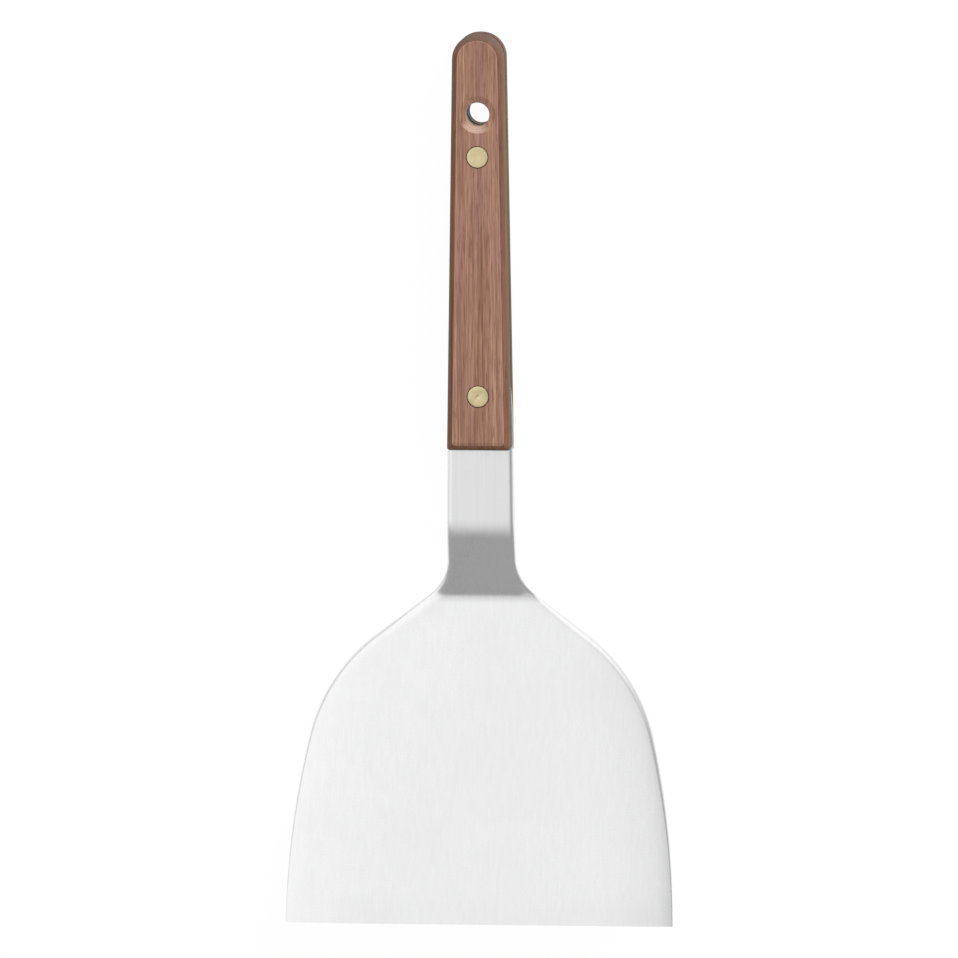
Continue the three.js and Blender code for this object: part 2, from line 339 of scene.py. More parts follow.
half, depth, thickness, middle = section(0)
bpy.ops.mesh.primitive_circle_add(
    vertices=edge_points, radius=thickness / 2, location=(0, flat_y(0), middle), rotation=(math.pi / 2, 0, 0)
)
steel = start("steel_blade_and_tang")
pick(steel, "VERT", lambda v: v.co.x < -tiny)
bpy.ops.mesh.delete(type="VERT")
bpy.ops.mesh.select_all(action="SELECT")
bpy.ops.transform.resize(value=(depth / (thickness / 2), 1, 1), center_override=(0, flat_y(0), middle))
bpy.ops.transform.translate(value=(half - depth, 0, 0))
pick(steel, "VERT", lambda v: v.co.x < half - depth + tiny)
for outer, inner in zip(flat_columns, flat_columns[1:]):
    step = (inner - outer) * (half - depth)
    bpy.ops.mesh.extrude_vertices_move(TRANSFORM_OT_translate={"value": (step, 0, 0)})
bpy.ops.mesh.select_mode(type="EDGE")
bpy.ops.mesh.select_all(action="SELECT")

for at, before in zip(stations[1:], stations):
    old_half, old_depth, old_thickness, old_middle = section(before)
    half, depth, thickness, middle = section(at)
    here = (0, flat_y(at), middle)
    border = half - depth
    widening = border / (old_half - old_depth)
    pull((0, at - before, middle - old_middle))
    bpy.ops.transform.resize(value=(widening, 1, thickness / old_thickness), center_override=here)
    pick(steel, "VERT", lambda v: v.co.y > here[1] - tiny and v.co.x > border + tiny)
    bpy.ops.transform.resize(
        value=(depth / old_depth / widening, 1, 1), center_override=(border, here[1], middle)
    )
    pick(steel, "VERT", lambda v: v.co.y > here[1] - tiny)
    bpy.ops.mesh.select_mode(type="EDGE")
close()
print("half blank:", len(steel.data.vertices), "points")

# %% Mirror the half blank
take(steel)
mirror = steel.modifiers.new("other_half", "MIRROR")
mirror.use_axis = (True, False, False)
mirror.merge_threshold = tiny
bpy.ops.object.modifier_apply(modifier=mirror.name)
print("blank width, mm:", mm(steel.dimensions.x))

# %% [markdown]
# The wide flat faces meet the round edges without a corner, and smooth shading would spread the roundness
# all over the flat. A narrow band inset along the border of each flat keeps it flat right up to the edge.
# The blade is rolled with a slight crown that gets rounder along its rim, and the belt that grinds its
# upper face bites a little deeper at the sides. So that face falls away by about a millimetre there and
# mirrors another part of the room. The edges of blade and neck are rounded mostly from above, so their
# outermost line lies below the middle of the steel. On the slope between them, which the belt can't reach,
# both corners are rounded alike.

# %% Inset the flats, crown the blade and grind its edges
flat_band = 0.00012


def border_at(y):
    """Where the flat ends and the round edge begins, while the blank is still flat."""
    half, depth = section(y - flat_y(0))[:2]
    return half - depth


def on_flat(face):
    """True for the faces of blade and neck that lie inside their round edges."""
    return all(abs(v.co.x) < border_at(v.co.y) + tiny and v.co.y < wood_y for v in face.verts)


def low_share(at):
    """How much an edge is rounded from above: fully on blade and neck, not at all on the slope."""
    on_blade = (blade_end - at) / edge_low_fade
    on_neck = (at - slope_end) / (neck_bend_end - slope_end)
    return min(max(on_blade, on_neck, 0), 1) if at < wood_at + tiny else 0


bpy.ops.object.mode_set(mode="EDIT")
pick(steel, "FACE", on_flat)
bpy.ops.mesh.inset(thickness=flat_band, depth=0, use_boundary=True)
close()
for point in steel.data.vertices:
    at = point.co.y - flat_y(0)
    half, depth, thickness, middle = section(at)
    inside = max(half - abs(point.co.x), 0) / math.hypot(1, slant(at))
    from_heel = max(blade_end - at, 0)
    side_bite = max(1 - inside / side_roll_width, 0) ** 3 * min(from_heel / side_roll_width, 1)
    rim_bite = max(1 - inside / rim_roll_width, 0) ** 2 * min(from_heel / rim_roll_fade, 1)
    bent = side_crown * side_bite + rim_roll_drop * rim_bite
    level = (point.co.z - middle) / (thickness / 2)
    crown_drop = bent + side_roll_drop * max(level, 0) * side_bite
    edge_drop = edge_low * low_share(at) * thickness * max(1 - abs(level), 0)
    point.co.z -= crown_drop + edge_drop
    point.co.y += bent * math.tan(blade_rise)
side_drop = side_crown + rim_roll_drop + side_roll_drop
print("upper face lower at the sides by mm:", mm(side_drop))

# %% [markdown]
# ## Bending the neck
# A press puts two creases in the blank: a tight one at the heel, where the blade begins, and a softer one
# where the neck levels out into the handle. Blender's own bend tool needs a window, so the strip is bent as
# a folding bar does it: at each station of a crease, all the steel in front of it is turned a little more.


# %% Bend the blank, one station at a time
def direction(at):
    """Angle at which the steel climbs towards the handle, at a distance from the front edge."""
    if at <= blade_end:
        return -blade_rise
    if at <= heel_end:
        return between(at, blade_end, heel_end, -blade_rise, slope_angle)
    if at <= slope_end:
        return slope_angle
    if at <= neck_bend_end:
        return between(at, slope_end, neck_bend_end, slope_angle, 0)
    return 0


def turn_points(piece, chosen, angle, centre):
    """Turns chosen points about the X axis. Without a window the operator's sign is opposite."""
    pick(piece, "VERT", lambda v: v.index in chosen)
    bpy.ops.transform.rotate(value=-angle, orient_axis="X", center_override=centre)


flat_places = [point.co.y for point in steel.data.vertices]
middle_points = [point.index for point in steel.data.vertices if abs(point.co.x) < tiny]
bpy.ops.object.mode_set(mode="EDIT")
for ahead, at, behind in reversed(list(zip(stations, stations[1:], stations[2:]))):
    turn = direction((ahead + at) / 2) - direction((at + behind) / 2)
    if abs(turn) < tiny:
        continue
    in_front = {i for i, place in enumerate(flat_places) if place < flat_y(at) - tiny}
    on_station = {i for i, place in enumerate(flat_places) if abs(place - flat_y(at)) < tiny}
    shape = bmesh.from_edit_mesh(steel.data)
    shape.verts.ensure_lookup_table()
    pair = [shape.verts[i].co for i in middle_points if i in on_station]
    centre = (pair[0] + pair[1]) / 2
    turn_points(steel, in_front, turn, centre)
    turn_points(steel, on_station, turn / 2, centre)
close()
front = min(point.co.y for point in steel.data.vertices)
print("front edge off the solid's by mm:", mm(front - blade_low.y))

# %% [markdown]
# Then the two open ends of the strip are closed, and the tang gets its holes. Its edges are marked, because
# they are sanded with the wood and not ground like the rest. The same mark paints them a darker grey, as
# painted shade between the scales.

# %% Close the ends, drill the tang and mark its edges
bore_margin = 0.004
round_points = 64
steel_edge_angle = 17
upright_under = 0.7


def cut_away(piece, tool):
    """Takes the shape of a tool out of a piece with a boolean, and puts the tool away."""
    take(piece)
    cut = piece.modifiers.new("cut", "BOOLEAN")
    cut.object = tool
    cut.operation = "DIFFERENCE"
    cut.solver = "EXACT"
    bpy.ops.object.modifier_apply(modifier=cut.name)
    bpy.data.objects.remove(tool)


def drill(piece, y, radius, low, high):
    """Cuts an upright round hole through the piece."""
    take(piece)
    bpy.ops.mesh.primitive_cylinder_add(
        vertices=round_points, radius=radius, depth=high - low, location=(0, y, (low + high) / 2)
    )
    cut_away(piece, bpy.context.object)


open_all(steel)
bpy.ops.mesh.fill_holes(sides=0)
close()
tang_bores = [(y, rivet_hole_radius) for y in rivet_places]
tang_bores.append((hang_hole_y, hang_hole_radius + tang_hole_room))
for y, radius in tang_bores:
    drill(steel, y, radius, tang_middle - bore_margin, tang_middle + bore_margin)
finish_faces(steel, steel_edge_angle)
# The sanded mark also paints these edges darker, as painted shade between the scales.
sanded_shaded_faces = [
    float(face.center.y > wood_y and abs(face.normal.z) < upright_under) for face in steel.data.polygons
]
steel.data.attributes.new("sanded", "FLOAT", "FACE").data.foreach_set("value", sanded_shaded_faces)
steel_lowest = min(point.co.z for point in steel.data.vertices)
print("steel:", len(steel.data.polygons), "faces, lowest mm", mm(steel_lowest))

# %% [markdown]
# ## The wooden scales
# Each scale is sawn from a board, its end is turned round on a sander and its outer edge is eased with a
# router. Then the face is planed, which leaves a fine crisp border where it meets the easing, and the holes
# are drilled and countersunk. The block below goes through the same steps. The lower scale is the upper
# one's mirror image, so it is a copy.

# %% Saw the upper scale from a block, with its taper and round end
scale_corner = 0.001
scale_rounding = 0.00285
planed_off = 0.00016
end_roundness = 0.966
end_points = 24

scale_thickness = handle_top - scale_low.z
block_height = scale_thickness + planed_off
bpy.ops.mesh.primitive_cube_add(
    size=1,
    location=(0, (wood_y + end_y) / 2, scale_low.z + block_height / 2),
    scale=(handle_width, handle_length, block_height),
)
upper_scale = start("wood_upper_scale")
block_end = handle_end_width - wood_slant * handle_end_width
pick(upper_scale, "VERT", lambda v: v.co.y > end_y - tiny)
bpy.ops.transform.resize(value=(block_end / handle_width, 1, 1), center_override=(0, end_y, 0))


def upright_at(edge, y):
    """True for an upright edge of the block at one of its ends."""
    first, second = (v.co for v in edge.verts)
    at_end = abs(first.y - y) < tiny and abs(second.y - y) < tiny
    return at_end and abs(first.x - second.x) < tiny


pick(upper_scale, "EDGE", lambda e: upright_at(e, end_y))
bpy.ops.mesh.bevel(offset=end_roundness * block_end / 2, segments=end_points, profile=0.5, affect="EDGES")
print("block:", len(upper_scale.data.vertices), "points before its edges are eased")

# %% Ease its outer edge and plane its face
easing_steps = 10
face_border = 0.00028
level_over = 0.999


def on_rim(edge):
    """True for the edges round the block's top."""
    return all(v.co.z > handle_top + tiny for v in edge.verts)


pick(upper_scale, "EDGE", lambda e: upright_at(e, wood_y))
bpy.ops.transform.edge_bevelweight(value=scale_corner / scale_rounding)
rim = pick(upper_scale, "EDGE", on_rim)
bpy.ops.transform.edge_bevelweight(value=1)
take(upper_scale)
easing = upper_scale.modifiers.new("eased_edges", "BEVEL")
easing.width = scale_rounding
easing.segments = easing_steps
easing.limit_method = "WEIGHT"
bpy.ops.object.modifier_apply(modifier=easing.name)
open_all(upper_scale)
bpy.ops.mesh.bisect(
    plane_co=(0, 0, handle_top), plane_no=(0, 0, 1), use_fill=True, clear_outer=True, threshold=tiny
)
pick(upper_scale, "FACE", lambda f: f.normal.z > level_over)
bpy.ops.mesh.inset(thickness=face_border, depth=0, use_boundary=True)
print("rim edges eased:", rim)

# %% Drill and countersink it
seat_room = 0.0002
seat_radius = rivet_head_radius + seat_room
seat_depth = 0.0016
sink_radius = 0.0062
sink_depth = 0.0007
wood_edge_angle = 15


def countersink(piece, y):
    """Opens the mouth of the hanging hole with a cone."""
    steep = sink_depth / (sink_radius - hang_hole_radius)
    cone_radius = sink_radius * 2
    take(piece)
    bpy.ops.mesh.primitive_cone_add(
        vertices=round_points,
        radius1=0,
        radius2=cone_radius,
        depth=steep * cone_radius,
        location=(0, y, handle_top),
    )
    cut_away(piece, bpy.context.object)


above = handle_top + bore_margin
below = scale_low.z - bore_margin
for y in rivet_places:
    drill(upper_scale, y, seat_radius, handle_top - seat_depth, above)
    drill(upper_scale, y, rivet_hole_radius, below, above)
drill(upper_scale, hang_hole_y, hang_hole_radius, below, above)
countersink(upper_scale, hang_hole_y)
finish_faces(upper_scale, wood_edge_angle)
print("upper scale:", len(upper_scale.data.polygons), "faces")

# %% [markdown]
# The planed face is paler than the eased edges, which hands and oil have darkened. Its border carries a
# thin pale line: rubbed wear with a painted highlight. The lower lip of the countersink, where the cutter
# crossed the grain, is fresh pale wood, and it faces the light at the back, so it gets a painted highlight
# too. The bore is raw wood without oil, painted a light grey that also stands in for the light falling
# into it. The upright sides get a painted grey sheen and shade, as light glancing along them gives, and
# the round end, where the fibres are cut across, is darker still. Each face of the mesh gets these six
# marks as numbers, and the wood finish reads them.

# %% Mark planed, rubbed, freshly cut, bored, side and end faces
largest_border = 60e-6
# Where the pale border line, rubbed wear with a painted highlight, begins
rubbed_highlight_from_y = wood_y + 2 * scale_rounding
# Direction, seen from above, that the countersink's lit lip faces: the painted highlight follows it
lit_lip_lean = Vector((0.17, 0.985))
wall_under = 0.1
cone_over = 0.3


def wood_marks(face):
    """The marks of one face, by name. Those it doesn't have are left out."""
    from_hole = math.hypot(face.center.x, face.center.y - hang_hole_y)
    if face.normal.z > level_over and face.center.z > handle_top - tiny:
        # The thin border of the planed face: rubbed wear with a painted highlight.
        on_border = face.area < largest_border and face.center.y > rubbed_highlight_from_y
        return {"planed": 1.0, "rubbed_highlight": float(on_border)}
    # The bore's wall: raw wood, painted lighter for the light that falls into the hole.
    if from_hole < hang_hole_radius + tiny and abs(face.normal.z) < wall_under:
        return {"bored": 1.0}
    # The countersink: fresh-cut wood, with a painted highlight on the lip that faces the light at the back.
    if from_hole < sink_radius and face.normal.z > cone_over:
        lean = face.normal.to_2d().normalized().dot(lit_lip_lean)
        return {"planed": 1.0, "cut": 0.5 + 0.5 * lean}
    # Upright faces take the painted grey sheen and shade; faces towards the round end take the darker end
    # grain.
    return {"side_sheen": 1.0 - abs(face.normal.z), "end": max(face.normal.y, 0.0)}


def mark_wood(piece):
    """Writes the marks on every face of a scale, and counts them."""
    found = [wood_marks(face) for face in piece.data.polygons]
    counts = {}
    for name in ("planed", "rubbed_highlight", "cut", "bored", "side_sheen", "end"):
        values = [marks.get(name, 0.0) for marks in found]
        piece.data.attributes.new(name, "FLOAT", "FACE").data.foreach_set("value", values)
        counts[name] = sum(value > 0 for value in values)
    return counts


print("marked faces:", mark_wood(upper_scale))

# %% Copy it for the lower scale, as a mirror image
take(upper_scale)
bpy.ops.object.duplicate()
lower_scale = bpy.context.object
lower_scale.name = "wood_lower_scale"
lower_scale.data.name = "wood_lower_scale"
open_all(lower_scale)
bpy.ops.transform.resize(value=(1, 1, -1), center_override=(0, 0, tang_middle))
bpy.ops.mesh.normals_make_consistent(inside=False)
close()
print("lower scale, lowest mm:", mm(min(v.co.z for v in lower_scale.data.vertices)))

# %% [markdown]
# ## The rivets
# A cutler's rivet comes in two halves: a head on a tube from above and a head on a pin from below, pressed
# into each other. Each half could be spun from a profile. A disc that is inset and extruded step by step
# gives the same turned shape with clean rings of faces, and it also takes the low crown and the small
# centre mark that the lathe leaves.

# %% Turn a rivet's two halves
rivet_chamfer = 0.0002
rivet_head_thickness = 0.0016
rivet_tube_radius = 0.0024
rivet_bore_radius = 0.0018
rivet_pin_radius = 0.0016
rivet_shank = 0.0124
tube_bore_depth = 0.0094
crown_rings = 5
crown_height = 0.00006
centre_mark_radius = 0.00035
centre_mark_depths = [0.00006, 0.00001]
brass_edge_angle = 30


def rivet_half(name, y, shank_radius, bore):
    """A head whose face lies at the handle's top, with a shank below, bored or solid."""
    bpy.ops.mesh.primitive_circle_add(
        vertices=round_points, radius=rivet_head_radius, fill_type="NGON", location=(0, y, handle_top)
    )
    piece = start(name)
    bpy.ops.mesh.select_all(action="SELECT")
    pull((0, 0, -rivet_head_thickness))
    under_head = handle_top - rivet_head_thickness
    pick(piece, "FACE", lambda f: f.calc_center_median().z < under_head + tiny)
    bpy.ops.mesh.inset(thickness=rivet_head_radius - shank_radius, depth=0)
    pull((0, 0, -rivet_shank))
    if bore:
        bpy.ops.mesh.inset(thickness=shank_radius - rivet_bore_radius, depth=0)
        pull((0, 0, tube_bore_depth))
    pick(piece, "EDGE", lambda e: all(v.co.z > handle_top - tiny for v in e.verts))
    bpy.ops.mesh.bevel(offset=rivet_chamfer, segments=4, profile=0.5, affect="EDGES")
    return piece


def crown(piece, mark_depth):
    """Raises the head's face in rings to a low crown and sinks a small mark in its middle."""
    face_radius = rivet_head_radius - rivet_chamfer

    def on_top(face):
        return abs(face.normal.z) > level_over and face.calc_center_median().z > handle_top - tiny

    pick(piece, "FACE", on_top)
    ring = (face_radius - centre_mark_radius) / crown_rings
    for step in range(crown_rings):
        rise = crown_height * 2 * (crown_rings - step - 0.5) / crown_rings**2
        bpy.ops.mesh.inset(thickness=ring, depth=0)
        bpy.ops.transform.translate(value=(0, 0, rise))
    bpy.ops.mesh.inset(thickness=centre_mark_radius / 3, depth=0)
    bpy.ops.transform.translate(value=(0, 0, -mark_depth))
    bpy.ops.mesh.select_all(action="SELECT")
    bpy.ops.transform.translate(value=(0, 0, -crown_height))
    close()
    finish_faces(piece, brass_edge_angle)


rivets = []
for name, y, mark_depth in zip(["neck", "end"], rivet_places, centre_mark_depths):
    tube = rivet_half("brass_" + name + "_tube", y, rivet_tube_radius, True)
    crown(tube, mark_depth)
    pin = rivet_half("brass_" + name + "_pin", y, rivet_pin_radius, False)
    crown(pin, mark_depth)
    open_all(pin)
    bpy.ops.transform.rotate(value=math.pi, orient_axis="Y", center_override=(0, y, tang_middle))
    close()
    rivets.append((tube, name + "_rivet_tube"))
    rivets.append((pin, name + "_rivet_pin"))
print("rivet halves:", [piece.name for piece, node in rivets])

# %% [markdown]
# ## Shared effects
# Ground steel, sanded wood and turned brass all show fine lines and uneven rubbing, only at other scales.
# Each effect is one node group with named sockets, placed in every finish with values of its own. The
# helpers add a node, wire it and hand back the socket with its result, so a finish reads like a recipe.

# %% Helpers for nodes
# A mix of colours takes them at the first two of these sockets and gives the result at the third.
mix_first, mix_second, mix_result = 6, 7, 2


def node(tree, kind, **settings):
    """Adds a node and sets its properties, or its input sockets where the name is a socket's."""
    made = tree.nodes.new(kind)
    for key, value in settings.items():
        name = key.replace("_", " ")
        if name in made.inputs:
            made.inputs[name].default_value = value
        else:
            setattr(made, key, value)
    return made


def wire(tree, source, target, name=0):
    """Leads a result to an input of a node."""
    tree.links.new(source, target.inputs[name])


def maths(tree, operation, first, second):
    """One value worked out from two others."""
    made = node(tree, "ShaderNodeMath", operation=operation)
    wire(tree, first, made, 0)
    wire(tree, second, made, 1)
    return made.outputs[0]


def scaled(tree, source, reads, gives, curve="LINEAR"):
    """Maps a value from one range to another."""
    made = node(tree, "ShaderNodeMapRange", interpolation_type=curve)
    for label, value in zip(("From Min", "From Max", "To Min", "To Max"), (*reads, *gives)):
        made.inputs[label].default_value = value
    wire(tree, source, made, "Value")
    return made.outputs["Result"]


def ramp(tree, source, stops):
    """A colour ramp on a value. Stops are pairs of a place and a colour."""
    made = node(tree, "ShaderNodeValToRGB")
    while len(made.color_ramp.elements) < len(stops):
        made.color_ramp.elements.new(0.5)
    for element, (place, colour) in zip(made.color_ramp.elements, stops):
        element.position = place
        element.color = (*colour, 1)
    wire(tree, source, made, "Fac")
    return made.outputs["Color"]


def mixed(tree, blend, share, first, second):
    """Mixes a colour with a plain one, by a value between 0 and 1."""
    made = node(tree, "ShaderNodeMix", data_type="RGBA", blend_type=blend)
    wire(tree, share, made, "Factor")
    wire(tree, first, made, mix_first)
    made.inputs[mix_second].default_value = (*second, 1)
    return made.outputs[mix_result]


def multiplied(tree, first, second):
    """One colour times another."""
    made = node(tree, "ShaderNodeMix", data_type="RGBA", blend_type="MULTIPLY", Factor=1.0)
    wire(tree, first, made, mix_first)
    wire(tree, second, made, mix_second)
    return made.outputs[mix_result]


# %% The two shared groups
def new_group(name, inputs, output):
    """A node group with float inputs after its vector input, and one value output."""
    group = bpy.data.node_groups.new(name, "ShaderNodeTree")
    group.interface.new_socket("Vector", in_out="INPUT", socket_type="NodeSocketVector")
    for label, value in inputs.items():
        socket = group.interface.new_socket(label, in_out="INPUT", socket_type="NodeSocketFloat")
        socket.default_value = value
    group.interface.new_socket(output, in_out="OUTPUT", socket_type="NodeSocketFloat")
    return group, node(group, "NodeGroupInput").outputs, node(group, "NodeGroupOutput")


def make_drawn_lines():
    """Noise drawn out along Y: grinding lines, wood fibres, pores."""
    group, given, result = new_group("drawn_lines", {"Across": 3000.0, "Along": 20.0, "Seed": 0.0}, "Lines")
    parts = node(group, "ShaderNodeSeparateXYZ")
    wire(group, given["Vector"], parts)
    placed = node(group, "ShaderNodeCombineXYZ")
    for axis, rate in (("X", "Across"), ("Y", "Along"), ("Z", "Across")):
        wire(group, maths(group, "MULTIPLY", parts.outputs[axis], given[rate]), placed, axis)
    noise = node(group, "ShaderNodeTexNoise", noise_dimensions="4D", Scale=1.0, Detail=3.0, Roughness=0.6)
    wire(group, placed.outputs[0], noise, "Vector")
    wire(group, given["Seed"], noise, "W")
    wire(group, noise.outputs["Fac"], result, "Lines")
    return group


def make_rubbing():
    """Broad uneven patches left by hands, cloths and use."""
    group, given, result = new_group("rubbing", {"Scale": 40.0, "Low": 0.0, "High": 1.0}, "Value")
    noise = node(group, "ShaderNodeTexNoise", Detail=4.0, Roughness=0.55, Distortion=0.4)
    wire(group, given["Vector"], noise, "Vector")
    wire(group, given["Scale"], noise, "Scale")
    patches = scaled(group, noise.outputs["Fac"], (0.3, 0.7), (0, 1), curve="SMOOTHSTEP")
    wire(group, given["Low"], patches.node, "To Min")
    wire(group, given["High"], patches.node, "To Max")
    wire(group, patches, result, "Value")
    return group


drawn_lines = make_drawn_lines()
rubbing = make_rubbing()
print("shared groups:", drawn_lines.name, rubbing.name)


# %% Helpers for finishes
def new_finish(name):
    """An empty finish with its shader and object coordinates."""
    finish = bpy.data.materials.new(name)
    finish.use_nodes = True
    tree = finish.node_tree
    coordinates = node(tree, "ShaderNodeTexCoord").outputs["Object"]
    return finish, tree, tree.nodes["Principled BSDF"], coordinates


def place_group(tree, group, coordinates, **values):
    """Places a shared group in a finish, reading the given coordinates."""
    made = node(tree, "ShaderNodeGroup", node_tree=group, **values)
    wire(tree, coordinates, made, "Vector")
    return made.outputs[0]


def marked(tree, name):
    """Reads one of the marks that the faces carry."""
    return node(tree, "ShaderNodeAttribute", attribute_name=name).outputs["Fac"]


def toned(tree, colour, mark, reads, share, tone):
    """Mixes a tone into a colour where the faces carry a mark."""
    tone_share = scaled(tree, marked(tree, mark), reads, (0, share))
    return mixed(tree, "MIX", tone_share, colour, tone)


def emboss(tree, shader, height, strength, distance):
    """Raises and sinks the surface very slightly by a value."""
    relief = node(tree, "ShaderNodeBump", Strength=strength, Distance=distance)
    wire(tree, height, relief, "Height")
    wire(tree, relief.outputs["Normal"], shader, "Normal")


def turned_rings(tree, coordinates, places, fineness):
    """Fine rings about the nearest of some upright axes, such as a lathe or a drill leaves."""
    nearest = None
    for y in places:
        centred = node(tree, "ShaderNodeMapping", Location=(0, -y, 0), Scale=(1, 1, 0))
        wire(tree, coordinates, centred, "Vector")
        length = node(tree, "ShaderNodeVectorMath", operation="LENGTH")
        wire(tree, centred.outputs["Vector"], length)
        away = length.outputs["Value"]
        nearest = maths(tree, "MINIMUM", nearest, away) if nearest else away
    rings = node(tree, "ShaderNodeTexNoise", noise_dimensions="1D", Scale=fineness, Detail=2.0)
    wire(tree, nearest, rings, "W")
    return rings.outputs["Fac"]


# %% [markdown]
# ## Ground steel
# The blade is ground with a belt along its length, so its lines run towards the handle: very fine ones
# that only soften the reflections, and a few broader ones that can just be seen. The tang's edges between
# the scales are only sanded together with the wood, so they are duller, and they are painted a darker grey
# as the shade that lies between the scales.

# %% Steel finish
steel_grey = (0.895, 0.895, 0.9)
steel_pale = (0.935, 0.935, 0.935)
# Painted shade: the darker grey given to the tang's edges between the scales
sanded_shade_grey = (0.46, 0.45, 0.43)
sanded_shade_share = 0.85
sanded_roughness = 0.12


def make_ground_steel():
    finish, tree, shader, coordinates = new_finish("ground_steel")
    fine = place_group(tree, drawn_lines, coordinates, Across=7000.0, Along=30.0, Seed=1.0)
    broad = place_group(tree, drawn_lines, coordinates, Across=900.0, Along=6.0, Seed=2.0)
    hands = place_group(tree, rubbing, coordinates, Scale=35.0, Low=-0.02, High=0.03)
    ground = ramp(tree, broad, [(0.3, steel_grey), (0.7, steel_pale)])
    # Painted shade on the tang's edges, which lie between the scales
    colour = toned(tree, ground, "sanded", (0, 1), sanded_shade_share, sanded_shade_grey)
    wire(tree, colour, shader, "Base Color")
    shader.inputs["Metallic"].default_value = 1.0
    sheen = scaled(tree, fine, reads=(0.25, 0.75), gives=(0.24, 0.34))
    handled = maths(tree, "ADD", sheen, hands)
    rougher = scaled(tree, marked(tree, "sanded"), reads=(0, 1), gives=(0, sanded_roughness))
    wire(tree, maths(tree, "ADD", handled, rougher), shader, "Roughness")
    emboss(tree, shader, fine, strength=0.25, distance=0.00001)
    return finish


ground_steel = make_ground_steel()
print("finish:", ground_steel.name)

# %% [markdown]
# ## Oiled wood
# The scales are a reddish hardwood with straight grain: soft lighter and darker streaks along the handle, a
# mauve cast here and there, and short dark pores. Streaks and pores are the same drawn-out noise at several
# scales, so that they run through the wood and also come out right on its round end.

# %% Wood finish
grain_dark = (0.175, 0.084, 0.051)
grain_brown = (0.292, 0.155, 0.102)
grain_pale = (0.418, 0.248, 0.171)
grain_mauve = (0.3, 0.156, 0.124)
board_dark = (0.9, 0.87, 0.85)
board_pale = (1.06, 1.05, 1.04)
fibre_dark = (0.66, 0.62, 0.59)
fibre_pale = (1.18, 1.18, 1.18)
pore_brown = (0.12, 0.055, 0.038)
handled_tone = (0.64, 0.53, 0.44)
# Pale fresh-cut wood with painted light, for the countersink's lit lip
fresh_lit_wood = (0.6, 0.42, 0.33)

# For each mark: the part of its range that counts, the largest share of the tone, and the tone
mark_tones = {
    # Painted grey sheen and shade on the upright sides
    "side_sheen": ((0.15, 0.75), 0.8, (0.164, 0.12, 0.08)),
    "end": ((0, 0.9), 0.85, (0.118, 0.078, 0.066)),
    # Pale border: rubbed wear with a painted highlight
    "rubbed_highlight": ((0, 1), 0.45, (0.44, 0.28, 0.21)),
    # Raw wood of the bore, painted lighter for the light that falls into it
    "bored": ((0, 1), 0.85, (0.45, 0.35, 0.25)),
}


def wood_grain(tree, coordinates, fibres, pores):
    """The colour of the wood itself: streaks, a mauve cast, boards, fibres and pores."""
    streaks = place_group(tree, drawn_lines, coordinates, Across=1050.0, Along=16.0, Seed=7.0)
    cast = place_group(tree, drawn_lines, coordinates, Across=330.0, Along=14.0, Seed=9.0)
    boards = place_group(tree, drawn_lines, coordinates, Across=260.0, Along=5.0, Seed=3.0)
    colour = ramp(tree, streaks, [(0.3, grain_dark), (0.48, grain_brown), (0.66, grain_pale)])
    mauve_share = scaled(tree, cast, reads=(0.42, 0.62), gives=(0, 0.75))
    colour = mixed(tree, "MIX", mauve_share, colour, grain_mauve)
    colour = multiplied(tree, colour, ramp(tree, boards, [(0.3, board_dark), (0.65, board_pale)]))
    colour = multiplied(tree, colour, ramp(tree, fibres, [(0.3, fibre_dark), (0.62, fibre_pale)]))
    pore_share = scaled(tree, pores, reads=(0, 1), gives=(0, 0.6))
    return mixed(tree, "MIX", pore_share, colour, pore_brown)


def make_oiled_wood():
    finish, tree, shader, coordinates = new_finish("oiled_wood")
    fibres = place_group(tree, drawn_lines, coordinates, Across=3400.0, Along=95.0, Seed=4.0)
    specks = place_group(tree, drawn_lines, coordinates, Across=2600.0, Along=160.0, Seed=5.0)
    pores = scaled(tree, specks, reads=(0.35, 0.43), gives=(1, 0))
    handled = scaled(tree, marked(tree, "planed"), reads=(0, 1), gives=(1, 0))
    colour = wood_grain(tree, coordinates, fibres, pores)
    colour = mixed(tree, "MULTIPLY", handled, colour, handled_tone)
    for mark, (reads, share, tone) in mark_tones.items():
        colour = toned(tree, colour, mark, reads, share, tone)
    # Countersink lip facing the light: fresh-cut wood with a painted highlight, in the cutter's rings
    fresh_lit = scaled(tree, marked(tree, "cut"), reads=(0.78, 1), gives=(0, 0.85))
    cutter = turned_rings(tree, coordinates, [hang_hole_y], 2500.0)
    ringed = maths(tree, "MULTIPLY", fresh_lit, scaled(tree, cutter, reads=(0.35, 0.65), gives=(0.5, 1)))
    wire(tree, mixed(tree, "MIX", ringed, colour, fresh_lit_wood), shader, "Base Color")
    gloss = scaled(tree, fibres, reads=(0.3, 0.7), gives=(0.46, 0.6))
    matt = scaled(tree, marked(tree, "side_sheen"), reads=(0, 1), gives=(0, 0.38))
    wire(tree, maths(tree, "ADD", gloss, matt), shader, "Roughness")
    shader.inputs["Specular IOR Level"].default_value = 0.3
    emboss(tree, shader, maths(tree, "SUBTRACT", fibres, pores), strength=0.4, distance=0.00006)
    return finish


oiled_wood = make_oiled_wood()
print("finish:", oiled_wood.name)

# %% [markdown]
# ## Turned brass
# The rivet heads are faced on a lathe, which leaves fine rings about their middle. The rings are counted
# from the nearer of the two rivets, so one finish serves both. The palm rubs the rivet near the end, so
# that one is brighter.

# %% Brass finish
brass_dark = (0.79, 0.66, 0.39)
brass_pale = (0.97, 0.82, 0.53)
brass_dull = (0.6, 0.52, 0.29)
dull_shares = (0.9, 0.5)


